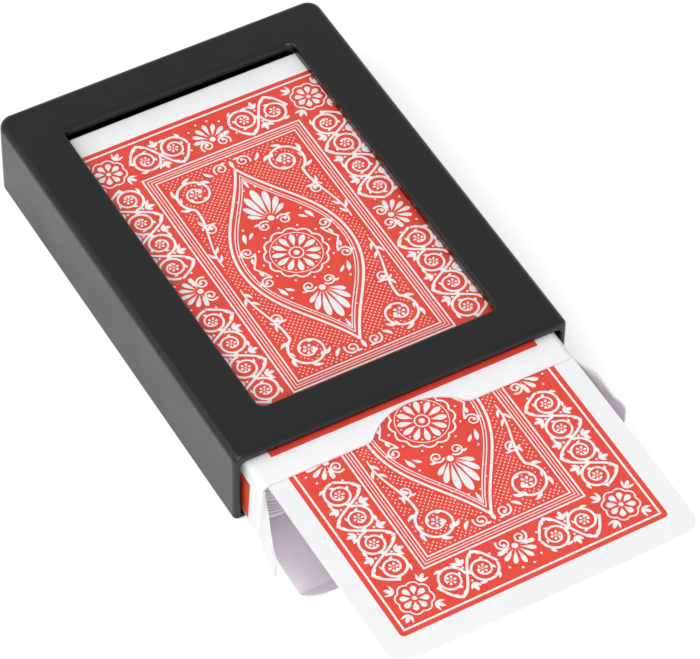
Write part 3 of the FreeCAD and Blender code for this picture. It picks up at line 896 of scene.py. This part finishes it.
# Reaches from a flap's crease to its free edge, and how much wider than the solid the lid and the tuck are.
DUST_REACH, TUCK_REACH = 11.6, 15.0
LID_WIDER = 0.4


def arc_place(first, turn_rate, run):
    """Point and heading on an arc from the origin, by its first heading, its turn for each mm and the run."""
    heading = first + turn_rate * run
    step = Vector((math.sin(heading) - math.sin(first), math.cos(first) - math.cos(heading)))
    return step / turn_rate, heading


def make_dust_flap(side, name, splay, curl):
    """Dust flap: full height at its crease, then down over a soft step to a tongue.

    It leaves its crease splayed out by an angle and turns on by curl over each mm.
    """
    axis = hinge(f"{name}_dust_hinge")
    low, high = span(f"{name}_dust_flap")
    bottom, top = low.z, high.z
    corners = [
        (0, bottom, 0),
        (DUST_REACH, bottom + 0.9, 1.6),
        (DUST_REACH, top - 5.2, 2.0),
        (8.9, top - 4.2, 1.8),
        (5.0, top - 0.1, 2.2),
        (0, top, 0),
    ]

    def place(run, z, lift):
        root = axis.x + side * flare(side, FRONT, z) * (1 - run / DUST_REACH)
        spot, heading = arc_place(splay, curl, run)
        x, y = side * (spot.y + lift * math.cos(heading)), -spot.x + lift * math.sin(heading)
        return Vector((root + x, axis.y + y, z))

    ends = [Vector((axis.x + side * flare(side, FRONT, z), axis.y, z)) for z in (bottom, top)]
    bead = [root_ring(end, Vector((1, 0, 0)), Vector((0, 1, 0))) for end in ends]
    outline = rounded(corners)
    cuts = divisions(0, DUST_REACH, 0.8), divisions(bottom, top, 2.5)
    faces_of = COATED, INSIDE, CUT_EDGE
    body = f"{name}_dust"
    flap = add_board(f"{body}_board", outline, cuts, place, BOARD, faces_of, body, bead)
    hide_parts(f"{name}_dust_flap")


def crease_bead(axis, half_width):
    """Round root of the lid or the tuck flap along its crease."""
    ends = [Vector((x, axis.y, axis.z)) for x in (-half_width, half_width)]
    return [root_ring(end, Vector((0, 1, 0)), Vector((0, 0, 1))) for end in ends]


def make_lid():
    """Lid, sagging from its crease to the table."""
    axis, far = hinge("lid_hinge"), hinge("tuck_hinge")
    half = span("lid_flap")[1].x
    gap = 0.05
    reach = (Vector((axis.y, axis.z)) - Vector((far.y, far.z))).length - gap
    droop = math.atan2(axis.z - far.z, axis.y - far.y)
    ease = math.radians(2.2)

    def place(x, run, lift):
        spot, heading = arc_place(droop + ease, -2 * ease / reach, run)
        y, z = -spot.x - lift * math.sin(heading), -spot.y + lift * math.cos(heading)
        return Vector((x, axis.y + y, axis.z + z))

    wide = half + LID_WIDER
    right = [(half, 0, 0), (wide, 4, 3), (wide, reach, 0)]
    outline = rounded(right + [(-x, run, radius) for x, run, radius in reversed(right)])
    cuts = (), divisions(0, reach, 1.0)
    faces_of = INSIDE, COATED, CUT_EDGE
    bead = crease_bead(axis, half)
    lid = add_board("lid_board", outline, cuts, place, BOARD, faces_of, "lid", bead)
    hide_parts("lid_flap")


def make_tuck():
    """Tuck flap, rising from the lid's far crease, with its two free corners well rounded."""
    axis = hinge("tuck_hinge")
    half = span("tuck_flap")[1].x + LID_WIDER
    rise, curl = math.radians(43), math.radians(12)
    tip = half - 1.0
    outline = rounded([(-half, 0, 0), (half, 0, 0), (tip, TUCK_REACH, 9.5), (-tip, TUCK_REACH, 9.5)])

    def place(x, run, lift):
        spot, heading = arc_place(rise, curl / TUCK_REACH, run)
        y, z = -spot.x + lift * math.sin(heading), spot.y + lift * math.cos(heading)
        return Vector((x, axis.y + y, axis.z + z))

    cuts = divisions(-half, half, 8), divisions(0, TUCK_REACH, 1.0)
    faces_of = INSIDE, COATED, CUT_EDGE
    bead = crease_bead(axis, half)
    tuck = add_board("tuck_board", outline, cuts, place, BOARD, faces_of, "tuck", bead)
    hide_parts("tuck_flap")


# --- cards -----------------------------------------------------------------------------------------------

CARD_CORNER = 3.5

# The drawn card is turned a little about its far edge, whose middle is here, and its near edge droops.
CARD_TURN = math.radians(0.9)
CARD_FAR_MIDDLE = -0.3
CARD_DROOP, DROOP_POWER = 1.46, 1.15

# Cards in each packet of the deck, from the lowest up.
PACKETS = (5, 4, 3, 3, 3, 4, 4, 4, 3, 5, 6)


def make_drawn_card():
    """Drawn card: flat in the case, drooping a little where it stands out, with its printed back up."""
    low, high = span("drawn_card")
    half, length = (high.x - low.x) / 2, high.y - low.y
    middle_z = (low.z + high.z) / 2
    outside = FRONT - low.y

    def place(x, run, lift):
        drop = CARD_DROOP * max(1 - run / outside, 0) ** DROOP_POWER
        along = run - length
        turned_x = x * math.cos(CARD_TURN) - along * math.sin(CARD_TURN)
        turned_y = x * math.sin(CARD_TURN) + along * math.cos(CARD_TURN)
        return Vector((CARD_FAR_MIDDLE + turned_x, high.y + turned_y, middle_z - drop + lift))

    outline = rectangle(-half, 0, half, length, CARD_CORNER)
    cuts = (), divisions(0, length, 3)
    faces_of = CARD_STOCK, CARD_STOCK, CARD_EDGE
    card = add_board("drawn_card_sheet", outline, cuts, place, CARD, faces_of, "top_card")
    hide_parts("drawn_card")
    add_panel("card", PANEL_ON_CARD, length / 2, cuts, place, CARD, "top_card")


def make_deck():
    """Deck in loose packets with a hairline gap under each, low enough for the drooping card to slide in."""
    names = sorted(name for name in frame["nodes"] if name.startswith("deck_card_"))
    chance = random.Random(12)
    foot = span(names[0])[0].z
    slack = span(names[-1])[1].z - CARD_DROOP - foot - len(names) * CARD
    shares = [0.0] * len(names)
    shifts = []
    for count in PACKETS:
        back = chance.choice((0.0, 0.05, 0.1, 0.15))
        shifts += [back + chance.uniform(-0.06, 0.06) for _ in range(count)]
        shares[len(shifts) - count] = chance.uniform(0.7, 1.3)
    level = foot
    for name, share, shift in zip(names, shares, shifts):
        level += slack * share / sum(shares)
        # The lowest card of each packet gets a dark edge, painted shade of the gap under it.
        make_sheet(name, level + CARD / 2, shift, CARD_EDGE_PAINTED_SHADE if share else CARD_EDGE)
        level += CARD


def make_sheet(name, middle_z, shift, edge):
    """Card of the deck, at its height and shifted back a little, with the material of its edge."""
    low, high = span(name)
    centre = (low + high) / 2
    half_width, half_length = (high.x - low.x) / 2, (high.y - low.y) / 2

    def place(x, y, lift):
        return Vector((centre.x + x, centre.y + y + shift, middle_z + lift))

    outline = rectangle(-half_width, -half_length, half_width, half_length, CARD_CORNER)
    faces_of = CARD_STOCK, CARD_STOCK, edge
    title = name.replace("card", "sheet")
    sheet = add_board(title, outline, ((), ()), place, CARD, faces_of, "deck")
    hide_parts(name)


# --- the whole -------------------------------------------------------------------------------------------


def dress_nodes():
    """Materials of the sleeve and of the case's CAD nodes, some of which show as they are."""
    for name, node in frame["nodes"].items():
        if name == "sleeve_shell" or name.startswith("case"):
            node.data.materials.clear()
            node.data.materials.append(PLASTIC if name == "sleeve_shell" else COATED)


# Camera of the photo: a long lens from high on the left of the open end.
CAMERA_PLACE = Vector((-270.73, -493.94, 627.92))
CAMERA_AZIMUTH, CAMERA_ELEVATION, CAMERA_ROLL = math.radians(30.18), math.radians(48.75), math.radians(1.181)
LENS, SENSOR = 228.54, 36

# Studio, in metres and watts: each lamp's place, size and power.
LAMPS = {
    "front": ((-0.55, -1.2, 0.9), 1.2, 10.2),
    "side": ((-1.1, 0.2, 1.0), 1.4, 7.3),
    "low": ((-0.5, -1.25, 0.3), 0.8, 4.2),
}
WORLD_STRENGTH = 0.59
TABLE_REACH, TABLE_GREY = 3.0, 0.86
GLOW_SEEN, GLOW_REFLECTED = 0.40, 0.25


def aim(item, direction, roll=0.0):
    """Turn a camera or a lamp to look along a direction."""
    item.rotation_mode = "QUATERNION"
    item.rotation_quaternion = direction.to_track_quat("-Z", "Y") @ Quaternion((0, 0, 1), roll)


def make_camera():
    """Camera that frames the part as the photo does."""
    data = bpy.data.cameras.new("camera")
    data.sensor_width, data.lens = SENSOR, LENS
    data.clip_start, data.clip_end = 0.05, 20
    camera = bpy.data.objects.new("camera", data)
    ahead, down = math.cos(CAMERA_ELEVATION), math.sin(CAMERA_ELEVATION)
    forward = Vector((math.sin(CAMERA_AZIMUTH) * ahead, math.cos(CAMERA_AZIMUTH) * ahead, -down))
    aim(camera, forward, CAMERA_ROLL)
    camera.location = CAMERA_PLACE * MM
    bpy.context.scene.collection.objects.link(camera)
    bpy.context.scene.camera = camera


def make_lamps():
    """Square soft lamps, all aimed at the origin."""
    for name, (place, size, power) in LAMPS.items():
        data = bpy.data.lights.new(name, "AREA")
        data.size, data.energy = size, power
        lamp = bpy.data.objects.new(name, data)
        lamp.location = place
        aim(lamp, -Vector(place))
        bpy.context.scene.collection.objects.link(lamp)


def table_material():
    """Pale table that glows a little, only where the camera or a gloss sees it."""
    shader = Shader("table", (TABLE_GREY,) * 3, 0.9)
    path = shader.nodes.new("ShaderNodeLightPath").outputs
    strength = None
    for ray, share in (("Is Camera Ray", GLOW_SEEN), ("Is Glossy Ray", GLOW_REFLECTED)):
        part = shader.nodes.new("ShaderNodeMath")
        part.operation = "MULTIPLY_ADD"
        part.inputs[1].default_value = share
        part.inputs[2].default_value = 0
        shader.links.new(path[ray], part.inputs[0])
        if strength:
            shader.links.new(strength, part.inputs[2])
        strength = part.outputs[0]
    glow = shader.nodes.new("ShaderNodeEmission")
    shader.links.new(strength, glow.inputs["Strength"])
    both = shader.nodes.new("ShaderNodeAddShader")
    shader.links.new(shader.surface.outputs[0], both.inputs[0])
    shader.links.new(glow.outputs[0], both.inputs[1])
    shader.links.new(both.outputs[0], shader.nodes["Material Output"].inputs["Surface"])
    return shader.material


def make_table():
    """White table top."""
    mesh = bpy.data.meshes.new("table")
    corners = rectangle(-TABLE_REACH, -TABLE_REACH, TABLE_REACH, TABLE_REACH)
    mesh.from_pydata([(x, y, 0) for x, y in corners], [], [range(4)])
    mesh.materials.append(table_material())
    table = bpy.data.objects.new("table", mesh)
    bpy.context.scene.collection.objects.link(table)


def make_world():
    """Even white light from all round."""
    world = bpy.data.worlds.new("studio")
    world.use_nodes = True
    background = world.node_tree.nodes["Background"].inputs
    background["Color"].default_value = (1, 1, 1, 1)
    background["Strength"].default_value = WORLD_STRENGTH
    bpy.context.scene.world = world


bpy.context.scene.view_settings.view_transform = "Standard"
make_camera()
make_table()
make_world()
make_lamps()
dress_nodes()
make_top()
left_side = make_side(-1, "left")
make_side(1, "right")
make_side_print(*left_side)
make_floor()
make_dust_flap(-1, "left", math.radians(23.5), math.radians(-0.9))
make_dust_flap(1, "right", math.radians(22), math.radians(0.55))
make_lid()
make_tuck()
make_deck()
make_drawn_card()
